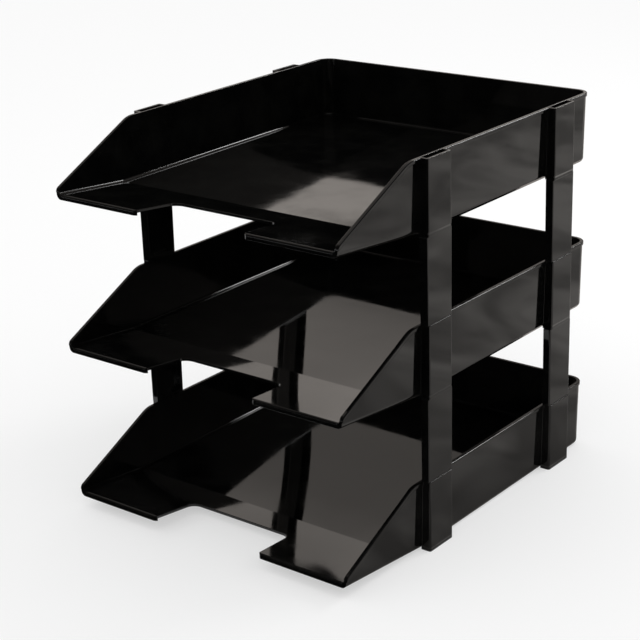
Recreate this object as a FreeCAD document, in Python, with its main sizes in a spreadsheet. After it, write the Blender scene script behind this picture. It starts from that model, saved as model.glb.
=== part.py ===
import FreeCAD, Part
import math
import os
import re

import Sketcher

# Three identical letter trays stand one above the other on eight identical risers.
# Millimetres. X runs left to right, Y from the open front to the back, Z up.
# The origin is on the table, in the middle of the stack's footprint.

SIZES = {
    # the tray, over its proud rim
    "rim_width": 254,
    "rim_depth": 318,
    "tray_height": 54,
    "tray_pitch": 116.8,
    "wall_thickness": 2,
    "wall_lean": 1.1,
    "corner_radius": 12,
    "rim_reach": 0.8,
    "rim_thickness": 2.6,
    "rim_round": 0.7,
    # the floor, and the apron that rises from it to the open front
    "floor_top": 7,
    "floor_thickness": 2,
    "floor_fillet": 2,
    "apron_length": 65,
    "apron_rise": 6.1,
    "lip_depth": 4,
    "lip_thickness": 2,
    "lip_round": 2,
    "edge_round": 4,
    # the cheeks, where the side walls come down to the front
    "cheek_length": 77,
    "cheek_tip": 17,
    "cheek_bend_radius": 22,
    "cheek_tip_radius": 4,
    # the finger notch in the front edge
    "notch_width": 97,
    "notch_taper": 2.5,
    "notch_depth": 39,
    "notch_radius": 7.5,
    "notch_end_radius": 3,
    # the foot around the hollow underside
    "foot_width": 8,
    "foot_back": 10,
    "foot_radius": 9,
    # the four sockets outside the side walls
    "socket_reach": 5.4,
    "socket_width": 28.5,
    "socket_wall": 1.8,
    "socket_round": 1.5,
    "front_socket": 54.7,
    "rear_socket": 108.8,
    "mouth_depth": 5,
    # the risers
    "riser_set_in": 0.5,
    "riser_depth": 6,
    "riser_top_width": 30.5,
    "riser_foot_width": 29.5,
    "riser_wall": 1.8,
    "riser_plate": 2,
    "riser_round": 1.2,
    "tongue_length": 22,
    "tongue_lead": 3,
    "tongue_gap": 0.25,
}

doc = FreeCAD.newDocument("letter_tray_stack")
sheet = doc.addObject("Spreadsheet::Sheet", "Sizes")
for row, (alias, value) in enumerate(SIZES.items(), 1):
    sheet.set(f"A{row}", alias)
    sheet.set(f"B{row}", str(value))
    sheet.setAlias(f"B{row}", alias)
doc.recompute()


def sized(formula):
    """The formula with each size's name turned into its cell in the sheet."""
    return re.sub(r"[a-z_]+", lambda word: f"Sizes.{word[0]}" if word[0] in SIZES else word[0], formula)


def number(formula):
    return float(sheet.evalExpression(sized(formula)))


def bind(thing, name, formula):
    thing.setExpression(name, sized(formula))


def plane_sketch(body, name, role, level="0"):
    """A sketch on one of the body's origin planes, raised along that plane's normal."""
    sketch = body.newObject("Sketcher::SketchObject", name)
    plane = next(item for item in body.Origin.OriginFeatures if item.Role == role)
    sketch.AttachmentSupport = [(plane, "")]
    sketch.MapMode = "FlatFace"
    bind(sketch, "AttachmentOffset.Base.z", level)
    return sketch


def pin(sketch, geometry, end, across, up):
    """Holds one end of a line at a place given by two formulas."""
    for kind, formula in (("DistanceX", across), ("DistanceY", up)):
        held = sketch.addConstraint(Sketcher.Constraint(kind, -1, 1, geometry, end, number(formula)))
        bind(sketch, f"Constraints[{held}]", formula)


def draw_outline(sketch, corners):
    """A closed outline through the corners; a third entry rounds that corner to a radius."""
    places = [FreeCAD.Vector(number(corner[0]), number(corner[1]), 0) for corner in corners]
    following = places[1:] + places[:1]
    radii = [number(corner[2]) if len(corner) > 2 else 0 for corner in corners]
    arrivals, departures, centres = [], [], []
    for index, (here, after, radius) in enumerate(zip(places, following, radii)):
        inward = (places[index - 1] - here).normalize()
        outward = (after - here).normalize()
        half = inward.getAngle(outward) / 2
        reach = radius / math.tan(half)
        arrivals.append(here + inward * reach)
        departures.append(here + outward * reach)
        middle = (inward + outward).normalize() if radius else inward
        centres.append(here + middle * (radius / math.sin(half)))

    lines = []
    for start, end in zip(departures, arrivals[1:] + arrivals[:1]):
        lines.append(sketch.addGeometry(Part.LineSegment(start, end)))
    for index, (corner, radius) in enumerate(zip(corners, radii)):
        arriving, leaving = lines[index - 1], lines[index]
        if not radius:
            sketch.addConstraint(Sketcher.Constraint("Coincident", arriving, 2, leaving, 1))
            pin(sketch, leaving, 1, corner[0], corner[1])
            continue
        toward = (places[index] - centres[index]).normalize()
        crown = centres[index] + toward * radius
        arc = sketch.addGeometry(Part.Arc(arrivals[index], crown, departures[index]))
        first = 1 if sketch.getPoint(arc, 1).isEqual(arrivals[index], 0.001) else 2
        sketch.addConstraint(Sketcher.Constraint("Tangent", arriving, 2, arc, first))
        sketch.addConstraint(Sketcher.Constraint("Tangent", leaving, 1, arc, 3 - first))
        held = sketch.addConstraint(Sketcher.Constraint("Radius", arc, radius))
        bind(sketch, f"Constraints[{held}]", corner[2])
        point = sketch.addGeometry(Part.Point(places[index]), True)
        sketch.addConstraint(Sketcher.Constraint("PointOnObject", point, 1, arriving))
        sketch.addConstraint(Sketcher.Constraint("PointOnObject", point, 1, leaving))
        pin(sketch, point, 1, corner[0], corner[1])


def draw_rectangle(sketch, left, right, low, high, *radius):
    draw_outline(sketch, [(left, low, *radius), (right, low, *radius), (right, high, *radius), (left, high, *radius)])


def extrude(body, kind, name, sketch, length, through=False):
    """A pad or pocket of the sketch; through reaches equally far both ways."""
    feature = body.newObject(f"PartDesign::{kind}", name)
    feature.Profile = sketch
    feature.Midplane = through
    bind(feature, "Length", length)
    return feature


def pad(body, name, sketch, length, through=False):
    return extrude(body, "Pad", name, sketch, length, through)


def cut(body, name, sketch, length, through=False):
    """A pocket that has to take material away."""
    doc.recompute()
    before = body.Shape.Volume
    feature = extrude(body, "Pocket", name, sketch, length, through)
    doc.recompute()
    if not before - feature.Shape.Volume > 1:
        raise RuntimeError(f"{name}: nothing was cut")
    return feature


def round_edges(body, name, radius, test):
    """Rounds every edge of the body so far that passes the test."""
    doc.recompute()
    base = body.Tip
    names = [f"Edge{index}" for index, edge in enumerate(base.Shape.Edges, 1) if test(edge.BoundBox)]
    if not names:
        raise RuntimeError(f"{name}: no edge to round")
    fillet = body.newObject("PartDesign::Fillet", name)
    fillet.Base = (base, names)
    bind(fillet, "Radius", radius)
    return fillet


def lean_faces(body, name, test):
    """Tilts the upright faces that pass the test, so that they narrow down from the rim's level."""
    doc.recompute()
    base = body.Tip
    names = []
    level = None
    for index, face in enumerate(base.Shape.Faces, 1):
        first, last, low, high = face.ParameterRange
        normal = face.normalAt((first + last) / 2, (low + high) / 2)
        if abs(normal.z) < 0.01 and test(face.BoundBox, normal):
            names.append(f"Face{index}")
        if normal.z > 0.99 and near(face.BoundBox.ZMax, "tray_height"):
            level = f"Face{index}"
    draft = body.newObject("PartDesign::Draft", name)
    draft.Base = (base, names)
    draft.NeutralPlane = (base, [level])
    draft.Reversed = True
    bind(draft, "Angle", LEAN)
    doc.recompute()
    draft.touch()
    doc.recompute()
    return draft


def near(value, formula, slack=0.05):
    return abs(value - number(formula)) < slack


FRONT = "-rim_depth / 2"
BACK = "rim_depth / 2"
FOLD = "(-rim_depth / 2 + apron_length)"
BEND = "(-rim_depth / 2 + cheek_length)"
LEAN = "atan(wall_lean / tray_height)"
LIP_BOTTOM = "(floor_top + apron_rise - lip_depth)"
APRON_SLOPE = "(apron_rise / apron_length)"
KEEL = f"({FRONT} + {LIP_BOTTOM} / {APRON_SLOPE})"
CHEEK_SLOPE = "((tray_height - cheek_tip) / cheek_length)"
CHEEK_STRETCH = f"sqrt(1 + {CHEEK_SLOPE} ^ 2)"
WALL_SIDE = "(rim_width / 2 - rim_reach)"
WALL_BACK = "(rim_depth / 2 - rim_reach)"
MOUTH_OUT = "(rim_width / 2 + socket_reach - socket_wall)"
MOUTH_HALF = "(socket_width / 2 - socket_wall)"
SIDES = {"left": -1, "right": 1}
STATIONS = {"front": "-front_socket", "rear": "rear_socket"}


def rear_upright(box):
    return box.ZLength > 1 and box.XLength < 0.01 and box.YLength < 0.01 and box.YMin > 0


def make_rim(label):
    """The proud rim: its side view through the whole width, leaning like the walls below."""
    body = doc.addObject("PartDesign::Body", label)
    sketch = plane_sketch(body, "rim_view", "YZ_Plane")
    bend = f"{BEND} + rim_thickness * ({CHEEK_STRETCH} - 1) / {CHEEK_SLOPE}"
    draw_outline(sketch, [
        (BACK, "tray_height - rim_thickness"),
        (bend, "tray_height - rim_thickness", "cheek_bend_radius - rim_thickness"),
        (FRONT, f"cheek_tip - rim_thickness * {CHEEK_STRETCH}"),
        (FRONT, "cheek_tip", "cheek_tip_radius"),
        (BEND, "tray_height", "cheek_bend_radius"),
        (BACK, "tray_height"),
    ])
    pad(body, "rim_block", sketch, "rim_width", through=True)
    round_edges(body, "rim_corners", "corner_radius", rear_upright)
    lean_faces(body, "rim_lean", lambda box, normal: normal.y > -0.01)

    def outer_edge(box):
        return box.ZMin > number("tray_height") - 0.01 and box.YMax > 0

    round_edges(body, "rim_round", "rim_round", outer_edge)
    return body


def add_walls(body):
    """The outside of the tray: its side view through the whole width, with rounded lower edges."""
    sketch = plane_sketch(body, "side_view", "YZ_Plane")
    draw_outline(sketch, [
        (WALL_BACK, "0"),
        (KEEL, "0"),
        (FRONT, LIP_BOTTOM),
        (FRONT, "cheek_tip", "cheek_tip_radius"),
        (BEND, "tray_height", "cheek_bend_radius"),
        (WALL_BACK, "tray_height"),
    ])
    pad(body, "wall_block", sketch, f"2 * {WALL_SIDE}", through=True)
    round_edges(body, "wall_corners", "corner_radius - rim_reach", rear_upright)
    lean_faces(body, "wall_lean", lambda box, normal: normal.y > -0.01)

    def lower_edge(box):
        crossing = box.XLength > 100 and box.YMax < 0
        return box.ZMax < number(LIP_BOTTOM) + 0.1 and not crossing

    round_edges(body, "lower_round", "edge_round", lower_edge)


def add_sockets(body):
    """Four upright sleeves outside the side walls."""
    sketch = plane_sketch(body, "socket_plan", "XY_Plane")
    for side in SIDES.values():
        for station in STATIONS.values():
            inner = f"{side} * ({WALL_SIDE} - wall_lean - 0.5)"
            outer = f"{side} * (rim_width / 2 + socket_reach)"
            left, right = sorted((inner, outer), key=number)
            draw_rectangle(sketch, left, right,
                           f"{station} - socket_width / 2", f"{station} + socket_width / 2")
    pad(body, "sockets", sketch, "tray_height")

    def outer_upright(box):
        return box.ZLength > 50 and box.XLength < 0.01 and near(abs(box.XMin), "rim_width / 2 + socket_reach")

    round_edges(body, "socket_round", "socket_round", outer_upright)


def make_hollow(label):
    """The inside of the tray, open at the front, with the floor turning up into the apron."""
    body = doc.addObject("PartDesign::Body", label)
    back = f"{WALL_BACK} - wall_thickness"
    sketch = plane_sketch(body, "hollow_view", "YZ_Plane")
    draw_outline(sketch, [
        (back, "floor_top"),
        (FOLD, "floor_top"),
        (f"{FRONT} - 20", f"floor_top + (apron_length + 20) * {APRON_SLOPE}"),
        (f"{FRONT} - 20", "tray_height"),
        (back, "tray_height"),
    ])
    pad(body, "hollow_block", sketch, f"2 * ({WALL_SIDE} - wall_thickness)", through=True)
    round_edges(body, "hollow_corners", "corner_radius - rim_reach - wall_thickness", rear_upright)
    lean_faces(body, "hollow_lean", lambda box, normal: normal.y > -0.01)

    def floor_edge(box):
        crossing = box.XLength > 100 and box.YMax < 0
        return box.ZMax < number("floor_top + apron_rise") + 3 and not crossing

    round_edges(body, "floor_fillet", "floor_fillet", floor_edge)
    return body


def add_underside(body):
    """The space under the floor and apron, which leaves a foot to stand on along three sides."""
    side = "(rim_width / 2 - foot_width)"
    back = f"{BACK} - foot_back"
    ceiling = "(floor_top - floor_thickness)"
    sketch = plane_sketch(body, "underside_view", "YZ_Plane")
    draw_outline(sketch, [
        (back, "-5"),
        (back, ceiling),
        (FOLD, ceiling),
        (f"{FRONT} + lip_thickness", f"{ceiling} + (apron_length - lip_thickness) * {APRON_SLOPE}"),
        (f"{FRONT} + lip_thickness", "-5"),
    ])
    cut(body, "underside", sketch, f"2 * {side}", through=True)

    def rear_corner(box):
        return rear_upright(box) and near(box.YMin, back) and near(abs(box.XMin), side)

    round_edges(body, "underside_corners", "foot_radius", rear_corner)


def round_lip(body):
    """Rounds the lip's upper edge between the cheeks, a hair outside its two faces so that they stay."""
    sketch = plane_sketch(body, "lip_view", "YZ_Plane")
    top = "(floor_top + apron_rise)"
    draw_outline(sketch, [
        (f"{FRONT} - 0.3", f"{top} - 3.5"),
        (f"{FRONT} + 0.15", top, "lip_round"),
        (f"{FRONT} + 5", f"{top} - 5 * {APRON_SLOPE} + 0.3"),
        (f"{FRONT} + 5", f"{top} + 2"),
        (f"{FRONT} - 3", f"{top} + 2"),
        (f"{FRONT} - 3", f"{top} - 3.5"),
    ])
    cut(body, "lip_round", sketch, f"2 * ({WALL_SIDE} - wall_thickness - wall_lean - floor_fillet)", through=True)


def add_mouths(body):
    """The straight ways through the sockets."""
    sketch = plane_sketch(body, "mouth_plan", "XY_Plane", "tray_height + 1")
    for side in SIDES.values():
        for station in STATIONS.values():
            ends = (f"{side} * ({MOUTH_OUT} - mouth_depth)", f"{side} * {MOUTH_OUT}")
            left, right = sorted(ends, key=number)
            draw_rectangle(sketch, left, right,
                           f"{station} - {MOUTH_HALF}", f"{station} + {MOUTH_HALF}")
    cut(body, "mouths", sketch, "tray_height + 2")


def add_notch(body):
    """The finger notch in the front edge, narrowing to two rounded corners."""
    sketch = plane_sketch(body, "notch_plan", "XY_Plane", "tray_height")
    wide, narrow = "notch_width / 2", "(notch_width / 2 - notch_taper)"
    draw_outline(sketch, [
        (f"-{wide}", f"{FRONT} - 10"),
        (wide, f"{FRONT} - 10"),
        (wide, FRONT),
        (narrow, f"{FRONT} + notch_depth", "notch_radius"),
        (f"-{narrow}", f"{FRONT} + notch_depth", "notch_radius"),
        (f"-{wide}", FRONT),
    ])
    cut(body, "notch", sketch, "tray_height + 1")

    def front_upright(box):
        upright = box.XLength < 0.01 and box.YLength < 0.01 and box.ZLength > 1
        return upright and near(box.YMin, FRONT) and near(abs(box.XMin), wide)

    round_edges(body, "notch_ends", "notch_end_radius", front_upright)


def join(body, name, kind, tool):
    joined = body.newObject("PartDesign::Boolean", name)
    joined.Type = kind
    joined.setObjects([tool])


def make_tray(label, level):
    rim = make_rim(f"{label}_rim")
    hollow = make_hollow(f"{label}_hollow")
    body = doc.addObject("PartDesign::Body", label)
    bind(body, "Placement.Base.z", f"tray_pitch * {level}")
    add_walls(body)
    join(body, "rim_joined", "Fuse", rim)
    add_sockets(body)
    join(body, "hollow_out", "Cut", hollow)
    add_underside(body)
    round_lip(body)
    add_mouths(body)
    add_notch(body)
    return body


def make_riser(label, level, side, station):
    """An open channel between two end plates, with a tongue at each end for the sockets.

    X is measured outward from the middle of the tray; zero height is at the lower socket's rim.
    """
    body = doc.addObject("PartDesign::Body", label)
    length = "(tray_pitch - tray_height)"
    outer = "(rim_width / 2 + socket_reach - riser_set_in)"
    tongue_out = f"({MOUTH_OUT} - tongue_gap)"
    tongue_half = f"({MOUTH_HALF} - tongue_gap)"
    foot, top = "riser_foot_width / 2", "riser_top_width / 2"

    sketch = plane_sketch(body, "tongue_view", "YZ_Plane", f"{tongue_out} - mouth_depth + 2 * tongue_gap")
    lead = f"({tongue_half} - tongue_lead / 2)"
    draw_outline(sketch, [
        (f"-{lead}", "-tongue_length"),
        (lead, "-tongue_length"),
        (tongue_half, "-tongue_length + tongue_lead"),
        (tongue_half, f"{length} + tongue_length - tongue_lead"),
        (lead, f"{length} + tongue_length"),
        (f"-{lead}", f"{length} + tongue_length"),
        (f"-{tongue_half}", f"{length} + tongue_length - tongue_lead"),
        (f"-{tongue_half}", "-tongue_length + tongue_lead"),
    ])
    pad(body, "tongues", sketch, "mouth_depth - 2 * tongue_gap")

    sketch = plane_sketch(body, "post_view", "YZ_Plane", f"{outer} - riser_depth")
    draw_outline(sketch, [
        (f"-{foot}", "0"),
        (foot, "0"),
        (top, length),
        (f"-{top}", length),
    ])
    pad(body, "post", sketch, "riser_depth")

    def outer_corner(box):
        return box.ZLength > 40 and box.XLength < 0.01 and near(box.XMin, outer)

    round_edges(body, "post_round", "riser_round", outer_corner)

    sketch = plane_sketch(body, "post_channel_view", "YZ_Plane", f"{outer} - riser_wall")
    draw_outline(sketch, [
        (f"-({foot} - riser_wall)", "riser_plate"),
        (f"{foot} - riser_wall", "riser_plate"),
        (f"{top} - riser_wall", f"{length} - riser_plate"),
        (f"-({top} - riser_wall)", f"{length} - riser_plate"),
    ])
    cut(body, "post_channel", sketch, "riser_depth")

    sketch = plane_sketch(body, "tongue_channel_view", "YZ_Plane", f"{tongue_out} - riser_wall")
    half = f"({tongue_half} - riser_wall - tongue_lead / 2)"
    draw_rectangle(sketch, f"-{half}", half, "-tongue_length - 5", "-0.1")
    draw_rectangle(sketch, f"-{half}", half, f"{length} + 0.1", f"{length} + tongue_length + 5")
    cut(body, "tongue_channel", sketch, "riser_depth")

    bind(body, "Placement.Base.y", station)
    bind(body, "Placement.Base.z", f"tray_height + tray_pitch * {level}")
    if side < 0:
        body.Placement.Rotation = FreeCAD.Rotation(FreeCAD.Vector(0, 0, 1), 180)
    return body


TIERS = {"lower": 0, "upper": 1}
pieces = [make_tray(f"{name}_tray", level) for level, name in enumerate(("bottom", "middle", "top"))]
for tier, level in TIERS.items():
    for place, station in STATIONS.items():
        for hand, side in SIDES.items():
            pieces.append(make_riser(f"{tier}_riser_{place}_{hand}", level, side, station))
doc.recompute()

for item in doc.Objects:
    if "Invalid" in item.State or "Error" in item.State:
        raise RuntimeError(f"{item.Label}: {item.State}")
os.makedirs("parts", exist_ok=True)
for piece in pieces:
    shape = piece.Shape
    if shape.isNull() or not shape.isValid() or len(shape.Solids) != 1:
        raise RuntimeError(f"{piece.Label}: not one sound solid")
    shape.exportStep(f"parts/{piece.Label}.step")
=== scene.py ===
import math

import bpy
from mathutils import Matrix, Vector

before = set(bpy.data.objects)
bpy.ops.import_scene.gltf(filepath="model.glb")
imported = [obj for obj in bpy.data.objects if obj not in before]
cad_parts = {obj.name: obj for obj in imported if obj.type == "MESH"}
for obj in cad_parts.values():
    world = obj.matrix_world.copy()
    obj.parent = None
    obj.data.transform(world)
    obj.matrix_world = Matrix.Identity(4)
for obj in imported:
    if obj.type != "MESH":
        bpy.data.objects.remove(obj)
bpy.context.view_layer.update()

# Three glossy black letter trays on eight risers. Metres, in the frame's own axes:
# X to the right, Y to the back, Z up.

scene = bpy.context.scene
scene.view_settings.view_transform = "Standard"


def linear(colour):
    """An sRGB hex colour as linear RGBA."""
    parts = [int(colour[at:at + 2], 16) / 255 for at in (0, 2, 4)]
    return [part / 12.92 if part < 0.04045 else ((part + 0.055) / 1.055) ** 2.4 for part in parts] + [1]


def add(tree, kind, settings=None, **inputs):
    """Adds a shader node; an input is a value or another node's output socket."""
    node = tree.nodes.new(kind)
    for name, value in (settings or {}).items():
        setattr(node, name, value)
    for name, value in inputs.items():
        socket = node.inputs[int(name[1:]) if name[1:].isdigit() else name.replace("_", " ")]
        if isinstance(value, bpy.types.NodeSocket):
            tree.links.new(value, socket)
        else:
            socket.default_value = value
    return node


def new_material(name):
    material = bpy.data.materials.new(name)
    material.use_nodes = True
    material.node_tree.nodes.clear()
    return material, material.node_tree


WHITE = linear("FFFFFF")
WARM_WHITE = linear("FFF6EE")

# The black plastic. The plates of the trays swell by TRAY_SWELL over waves of 60 mm and the narrow
# risers by half of that over 40 mm, and smudges from handling are a fingertip or two wide, 25 mm.
TRAY_WAVE = 0.06
TRAY_SWELL = 0.00012
RISER_WAVE = 0.04
RISER_SWELL = 0.00006
SMUDGE = 0.025
SMUDGE_SPAN = (0.4, 0.7)
CLEAN_ROUGHNESS = 0.035
SMUDGE_ROUGHNESS = 0.045
CLEAN_BLACK = linear("040404")
SMUDGED_BLACK = linear("0A0A09")
POLYSTYRENE_IOR = 1.57
EDGE_RADIUS = 0.0006

# A tray's floor bends from DISH_START to the fold, where the apron begins, and curls at the sides.
DISH_START = 0.042
FOLD = -0.094
APRON_LENGTH = 0.07
CURL = 0.0011
CURL_REACH = 0.12
CURL_POWER = 4
LOOKS_UP = 0.9
FLOOR_BAND = 0.02

# A thin line above a tray's lower edge turns in, like the rounded edge of the real one.
FOOT_LINE = (0.0018, 0.003)
FOOT_DEPTH = 0.0014

# Each tray: height of its lower edge, slope of its floor at the fold, power of the bend, and slope
# added on the apron. They are matched to the reflections in the photograph.
TRAYS = {
    "top_tray": (0.2336, 0.05, 1.6, 0.02),
    "middle_tray": (0.1168, 0.055, 1.8, 0),
    "bottom_tray": (0, 0.084, 2.2, 0.03),
}


def tray_relief(tree, place, base, slope, power, apron_slope):
    """The heights that bend the reflections of a tray, in metres.

    Floor: slope * length / power * run ** power, where run goes from 0 at DISH_START to 1 at FOLD, so that
    the floor reaches the slope at the fold; then apron_slope * distance on the apron, and everywhere
    CURL * (distance from the middle / CURL_REACH) ** CURL_POWER. It holds only on faces that look up and
    lie within FLOOR_BAND of the lower edge. Foot: FOOT_DEPTH inwards below FOOT_LINE, and none above it.
    """
    spot = add(tree, "ShaderNodeSeparateXYZ", _0=place)
    run = add(tree, "ShaderNodeMapRange", Value=spot.outputs["Y"], From_Min=DISH_START, From_Max=FOLD,
              To_Min=0, To_Max=1)
    bend = add(tree, "ShaderNodeMath", {"operation": "POWER"}, _0=run.outputs[0], _1=power)
    bend = add(tree, "ShaderNodeMath", {"operation": "MULTIPLY"}, _0=bend.outputs[0],
               _1=slope * (DISH_START - FOLD) / power)
    apron = add(tree, "ShaderNodeMapRange", Value=spot.outputs["Y"], From_Min=FOLD,
                From_Max=FOLD - APRON_LENGTH, To_Min=0, To_Max=apron_slope * APRON_LENGTH)
    dish = add(tree, "ShaderNodeMath", {"operation": "ADD"}, _0=bend.outputs[0], _1=apron.outputs[0])

    aside = add(tree, "ShaderNodeMath", {"operation": "ABSOLUTE"}, _0=spot.outputs["X"])
    aside = add(tree, "ShaderNodeMath", {"operation": "DIVIDE"}, _0=aside.outputs[0], _1=CURL_REACH)
    aside = add(tree, "ShaderNodeMath", {"operation": "POWER"}, _0=aside.outputs[0], _1=CURL_POWER)
    dish = add(tree, "ShaderNodeMath", {"operation": "MULTIPLY_ADD"}, _0=aside.outputs[0], _1=CURL,
               _2=dish.outputs[0])

    normal = add(tree, "ShaderNodeNewGeometry").outputs["Normal"]
    facing = add(tree, "ShaderNodeSeparateXYZ", _0=normal)
    level = add(tree, "ShaderNodeMath", {"operation": "GREATER_THAN"}, _0=facing.outputs["Z"], _1=LOOKS_UP)
    low = add(tree, "ShaderNodeMath", {"operation": "LESS_THAN"}, _0=spot.outputs["Z"],
              _1=base + FLOOR_BAND)
    on_floor = add(tree, "ShaderNodeMath", {"operation": "MULTIPLY"}, _0=level.outputs[0],
                   _1=low.outputs[0])
    dish = add(tree, "ShaderNodeMath", {"operation": "MULTIPLY"}, _0=dish.outputs[0],
               _1=on_floor.outputs[0])

    foot = add(tree, "ShaderNodeMapRange", Value=spot.outputs["Z"], From_Min=base + FOOT_LINE[0],
               From_Max=base + FOOT_LINE[1], To_Min=-FOOT_DEPTH, To_Max=0)
    return dish.outputs[0], foot.outputs[0]


def moulded_black(name, wave, swell, tray=None):
    """Black polystyrene, injection moulded.

    To the eye it is a deep black with a mirror on it. The mirror waves slowly, smudges dull it a little
    in places, and eased edges catch a thin line of light.
    """
    material, tree = new_material(name)
    place = add(tree, "ShaderNodeTexCoord").outputs["Object"]
    waves = add(tree, "ShaderNodeTexNoise", Vector=place, Scale=1 / wave, Detail=1.0)
    relief = add(tree, "ShaderNodeMath", {"operation": "MULTIPLY"}, _0=waves.outputs[0], _1=swell)
    if tray:
        for part in tray_relief(tree, place, *tray):
            relief = add(tree, "ShaderNodeMath", {"operation": "ADD"}, _0=relief.outputs[0], _1=part)
    eased = add(tree, "ShaderNodeBevel", {"samples": 8}, Radius=EDGE_RADIUS)
    bump = add(tree, "ShaderNodeBump", Height=relief.outputs[0], Strength=1.0, Distance=1.0,
               Normal=eased.outputs[0])

    handled = add(tree, "ShaderNodeTexNoise", Vector=place, Scale=1 / SMUDGE, Detail=4.0, Roughness=0.6)
    haze = add(tree, "ShaderNodeMapRange", Value=handled.outputs[0], From_Min=SMUDGE_SPAN[0],
               From_Max=SMUDGE_SPAN[1], To_Min=0, To_Max=1)
    roughness = add(tree, "ShaderNodeMath", {"operation": "MULTIPLY_ADD"}, _0=haze.outputs[0],
                    _1=SMUDGE_ROUGHNESS, _2=CLEAN_ROUGHNESS)
    tint = add(tree, "ShaderNodeMix", {"data_type": "RGBA"}, _0=haze.outputs[0], _6=CLEAN_BLACK,
               _7=SMUDGED_BLACK)
    shader = add(tree, "ShaderNodeBsdfPrincipled", Base_Color=tint.outputs[2],
                 Roughness=roughness.outputs[0], IOR=POLYSTYRENE_IOR, Normal=bump.outputs[0])
    add(tree, "ShaderNodeOutputMaterial", Surface=shader.outputs["BSDF"])
    return material


riser_black = moulded_black("riser_black_polystyrene", RISER_WAVE, RISER_SWELL)
tray_blacks = {
    name: moulded_black(name + "_black_polystyrene", TRAY_WAVE, TRAY_SWELL, tray)
    for name, tray in TRAYS.items()
}
for name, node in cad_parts.items():
    for slot in node.material_slots:
        slot.material = tray_blacks.get(name, riser_black)

# The camera stands where the photograph's perspective puts it. Focal length and shift are in pixels.
EYE = Vector((0.7406, -0.9580, 0.5763))
FORWARD = Vector((-0.59792, 0.72778, -0.33591)).normalized()
ROLL = math.radians(-2.11)
PICTURE = 640
FOCAL_LENGTH = 1698.8
SHIFT_RIGHT = 32
SHIFT_UP = -20
SENSOR = 36

camera_data = bpy.data.cameras.new("camera")
camera = bpy.data.objects.new("camera", camera_data)
scene.collection.objects.link(camera)
scene.camera = camera
camera_data.sensor_width = SENSOR
camera_data.lens = FOCAL_LENGTH * SENSOR / PICTURE
camera_data.shift_x = SHIFT_RIGHT / PICTURE
camera_data.shift_y = SHIFT_UP / PICTURE
right = FORWARD.cross(Vector((0, 0, 1))).normalized()
up = right.cross(FORWARD)
across = right * math.cos(ROLL) + up * math.sin(ROLL)
upward = up * math.cos(ROLL) - right * math.sin(ROLL)
turn = Matrix((across, upward, -FORWARD)).transposed().to_4x4()
camera.matrix_world = Matrix.Translation(EYE) @ turn


def lamp(name, place, target, size, power):
    """A rectangular softbox at a place, turned towards a target."""
    data = bpy.data.lights.new(name, "AREA")
    data.shape = "RECTANGLE"
    data.size, data.size_y = size
    data.energy = power
    item = bpy.data.objects.new(name, data)
    scene.collection.objects.link(item)
    item.location = place
    item.rotation_euler = (Vector(target) - Vector(place)).to_track_quat("-Z", "Y").to_euler()


# The softbox behind draws the light lines along the inner folds of the trays; the one above fills.
lamp("softbox_back", (0.55, 1.23, 1.0), (0, 0, 0.1), (0.45, 0.25), 4.5)
lamp("softbox_top", (0.0, 0.2, 2.0), (0, 0, 0), (1.8, 1.8), 1.5)


def sheet(name, left, right, front, back, height, material):
    """A level staged quad between four sides, with its face up."""
    mesh = bpy.data.meshes.new(name)
    corners = [(left, front, height), (right, front, height), (right, back, height), (left, back, height)]
    mesh.from_pydata(corners, [], [(0, 1, 2, 3)])
    mesh.materials.append(material)
    item = bpy.data.objects.new(name, mesh)
    scene.collection.objects.link(item)
    return item


# The mottling of the grey card, painted shade seen only in reflections: seven patches to the metre,
# stirred a little.
PATCHES = 7
STIR = 1.5
PATCH_SPAN = (0.38, 0.62)


def matt(name, colour, lift=0, shade_mottle=0):
    """Matt paint, flat to the eye.

    The lift is the share of plain white that the camera sees in it, and the mottle is how much darker its
    patches are, painted shade that mottles what a card shows in reflections.
    """
    material, tree = new_material(name)
    shader = add(tree, "ShaderNodeBsdfDiffuse", Color=linear(colour))
    if shade_mottle:
        place = add(tree, "ShaderNodeTexCoord").outputs["Object"]
        patches = add(tree, "ShaderNodeTexNoise", Vector=place, Scale=PATCHES, Detail=2, Distortion=STIR)
        tone = add(tree, "ShaderNodeMapRange", Value=patches.outputs[0], From_Min=PATCH_SPAN[0],
                   From_Max=PATCH_SPAN[1], To_Min=1 - shade_mottle, To_Max=1)
        mottled = add(tree, "ShaderNodeMix", {"data_type": "RGBA", "blend_type": "MULTIPLY"}, _0=1.0,
                      _6=linear(colour), _7=tone.outputs[0])
        tree.links.new(mottled.outputs[2], shader.inputs["Color"])
    white = add(tree, "ShaderNodeEmission", Color=WHITE, Strength=1)
    seen = add(tree, "ShaderNodeLightPath").outputs["Is Camera Ray"]
    share = add(tree, "ShaderNodeMath", {"operation": "MULTIPLY"}, _0=seen, _1=lift)
    mix = add(tree, "ShaderNodeMixShader", _0=share.outputs[0], _1=shader.outputs[0], _2=white.outputs[0])
    add(tree, "ShaderNodeOutputMaterial", Surface=mix.outputs[0])
    return material


def only_mirrored(card):
    """A studio card stands outside the picture and shows only as a reflection."""
    card.visible_camera = card.visible_diffuse = card.visible_shadow = False
    card.visible_transmission = False


# The floor is plain and pale.
FLOOR_REACH = 6
sheet("floor", -FLOOR_REACH, FLOOR_REACH, -FLOOR_REACH, FLOOR_REACH, 0,
      matt("pale_floor", "F6F6F6", lift=0.5))
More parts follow.
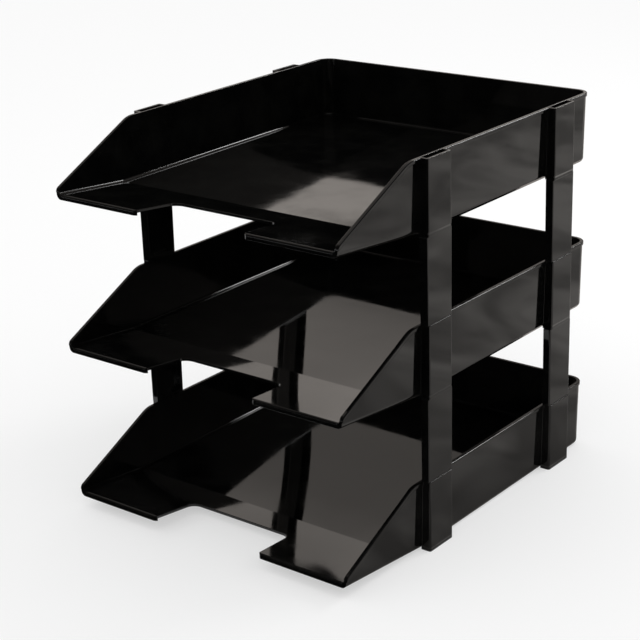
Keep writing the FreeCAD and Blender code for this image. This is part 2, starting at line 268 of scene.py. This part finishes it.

# Cards lie just above the floor and show only in reflections. A black one in front is painted shade that
# keeps the front faces dark, a grey one with darker patches is painted shade that calms the right sides,
# and a glowing one behind on the left, no lamp, is a painted reflection that shines up between the tiers.
CARD_HEIGHT = 0.001
CARD_LEFT = -1.2
CARD_RIGHT = 1.6
CARD_FRONT = -1.2
CARD_BACK = 1.6
TRAY_FRONT = -0.163
TRAY_RIGHT = 0.12
GLOW_RIGHT = 0.1
GLOW_FRONT = 0.2
GLOW_BACK = 1.4
GLOW_STRENGTH = 0.6
# Painted shade: a black sheet shown only in reflections, where the floor in front would lie in shade.
only_mirrored(sheet("painted_shade_black_card", CARD_LEFT, CARD_RIGHT, CARD_FRONT, TRAY_FRONT, CARD_HEIGHT,
                    matt("painted_shade_black_card", "000000")))
# Painted shade: a grey sheet shown only in reflections, its darker patches painted uneven reflections.
only_mirrored(sheet("painted_shade_grey_card", TRAY_RIGHT, CARD_RIGHT, TRAY_FRONT, CARD_BACK, CARD_HEIGHT,
                    matt("painted_shade_grey_card", "C2BEBA", shade_mottle=0.5)))
# Painted reflection: a card that glows, though it is no lamp, and shows only in reflections.
glowing_reflection, tree = new_material("glowing_reflection_card")
shader = add(tree, "ShaderNodeEmission", Color=WARM_WHITE, Strength=GLOW_STRENGTH)
add(tree, "ShaderNodeOutputMaterial", Surface=shader.outputs[0])
only_mirrored(sheet("glowing_reflection_card", CARD_LEFT, GLOW_RIGHT, GLOW_FRONT, GLOW_BACK, CARD_HEIGHT, glowing_reflection))

# Reflections show a white wall behind on the left, above a dark strip at the horizon. The wall is
# brightest low down. Rise is the Z of a ray's direction, and toward is its share of WALL_WAY.
WALL_WAY = (-0.62, 0.78, 0)
WALL_FOOT = (0.202, 0.208)
STRIP_LIGHT = 0.02
WALL_LIGHT = 0.8
FADE_SPAN = (0.21, 0.36)
FADE_LEFT = 0.42
SIDE_SPAN = (0.1, 0.5)
SIDE_LEFT = 0.1
ROOM_LIGHT = 0.97

world = bpy.data.worlds.new("studio")
scene.world = world
world.use_nodes = True
tree = world.node_tree
tree.nodes.clear()
way = add(tree, "ShaderNodeTexCoord").outputs["Generated"]
rise = add(tree, "ShaderNodeSeparateXYZ", _0=way).outputs["Z"]
wall = add(tree, "ShaderNodeMapRange", Value=rise, From_Min=WALL_FOOT[0], From_Max=WALL_FOOT[1],
           To_Min=STRIP_LIGHT, To_Max=WALL_LIGHT)
fade = add(tree, "ShaderNodeMapRange", Value=rise, From_Min=FADE_SPAN[0], From_Max=FADE_SPAN[1], To_Min=1,
           To_Max=FADE_LEFT)
toward = add(tree, "ShaderNodeVectorMath", {"operation": "DOT_PRODUCT"}, _0=way, _1=WALL_WAY)
side = add(tree, "ShaderNodeMapRange", Value=toward.outputs["Value"], From_Min=SIDE_SPAN[0],
           From_Max=SIDE_SPAN[1], To_Min=SIDE_LEFT, To_Max=1)
mirrored = add(tree, "ShaderNodeMath", {"operation": "MULTIPLY"}, _0=wall.outputs[0], _1=side.outputs[0])
mirrored = add(tree, "ShaderNodeMath", {"operation": "MULTIPLY"}, _0=mirrored.outputs[0],
               _1=fade.outputs[0])

# The camera sees plain white, the shading gets an even light, and glossy rays see the wall.
path = add(tree, "ShaderNodeLightPath")
even = add(tree, "ShaderNodeBackground", Color=WHITE, Strength=ROOM_LIGHT)
white = add(tree, "ShaderNodeBackground", Color=WHITE, Strength=1)
room = add(tree, "ShaderNodeBackground", Color=WARM_WHITE, Strength=mirrored.outputs[0])
clear = add(tree, "ShaderNodeMath", {"operation": "MAXIMUM"}, _0=path.outputs["Is Camera Ray"],
            _1=path.outputs["Is Transmission Ray"])
seen = add(tree, "ShaderNodeMixShader", _0=clear.outputs[0], _1=even.outputs[0], _2=white.outputs[0])
seen = add(tree, "ShaderNodeMixShader", _0=path.outputs["Is Glossy Ray"], _1=seen.outputs[0],
           _2=room.outputs[0])
add(tree, "ShaderNodeOutputWorld", Surface=seen.outputs[0])
